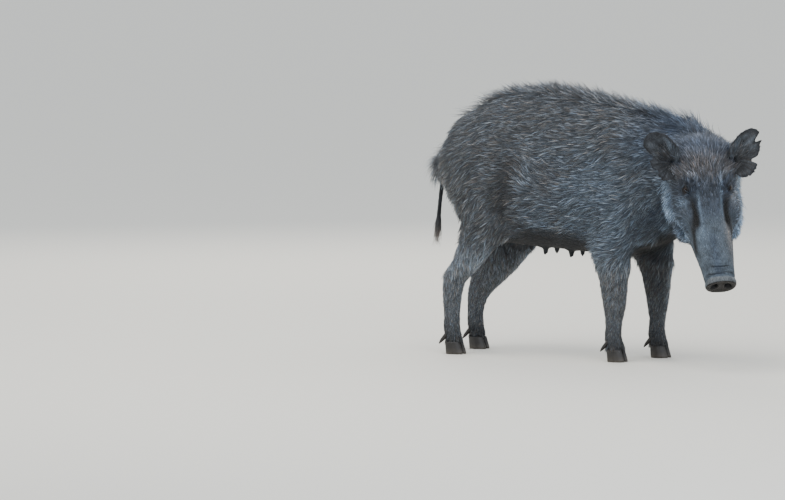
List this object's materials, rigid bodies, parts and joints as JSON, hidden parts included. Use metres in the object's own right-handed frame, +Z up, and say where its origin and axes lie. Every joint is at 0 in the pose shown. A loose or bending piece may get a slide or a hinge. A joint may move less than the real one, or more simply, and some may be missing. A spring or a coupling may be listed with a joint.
{
  "type": "wild boar sow",
  "caption": "Adult wild boar sow standing with its head lowered and turned to its right, torn ears, long straight snout, bristly coat and a thin hanging tail.",
  "frame": {"origin": "on the floor, under the middle of the bounding box of the whole animal", "axes": "the body faces -Y, its left side is +X and +Z is up; the head is turned towards -X"},
  "size_m": [0.4544, 1.0684, 0.7714],
  "materials": {
    "bristle_coat": "dense coat of coarse dark grey-brown bristles with paler bluish grey tips",
    "bare_skin": "thinly haired dark grey-brown skin of ears, nose disc and tail",
    "eye": "glossy dark brown eyeball",
    "hoof_horn": "dark grey horn, worn matt"
  },
  "bodies": {
    "root": {"dewclaw_fore_left_inner": "hoof_horn", "dewclaw_fore_left_outer": "hoof_horn", "dewclaw_fore_right_inner": "hoof_horn", "dewclaw_fore_right_outer": "hoof_horn", "dewclaw_hind_left_inner": "hoof_horn", "dewclaw_hind_left_outer": "hoof_horn", "dewclaw_hind_right_inner": "hoof_horn", "dewclaw_hind_right_outer": "hoof_horn", "ear_left": "bare_skin", "ear_right": "bare_skin", "eye_left": "eye", "eye_right": "eye", "foreleg_left": "bristle_coat", "foreleg_right": "bristle_coat", "head": "bristle_coat", "hindleg_left": "bristle_coat", "hindleg_right": "bristle_coat", "hoof_fore_left_inner": "hoof_horn", "hoof_fore_left_outer": "hoof_horn", "hoof_fore_right_inner": "hoof_horn", "hoof_fore_right_outer": "hoof_horn", "hoof_hind_left_inner": "hoof_horn", "hoof_hind_left_outer": "hoof_horn", "hoof_hind_right_inner": "hoof_horn", "hoof_hind_right_outer": "hoof_horn", "neck": "bristle_coat", "snout_disc": "bare_skin", "tail": "bare_skin", "trunk": "bristle_coat"}
  },
  "joints": []
}
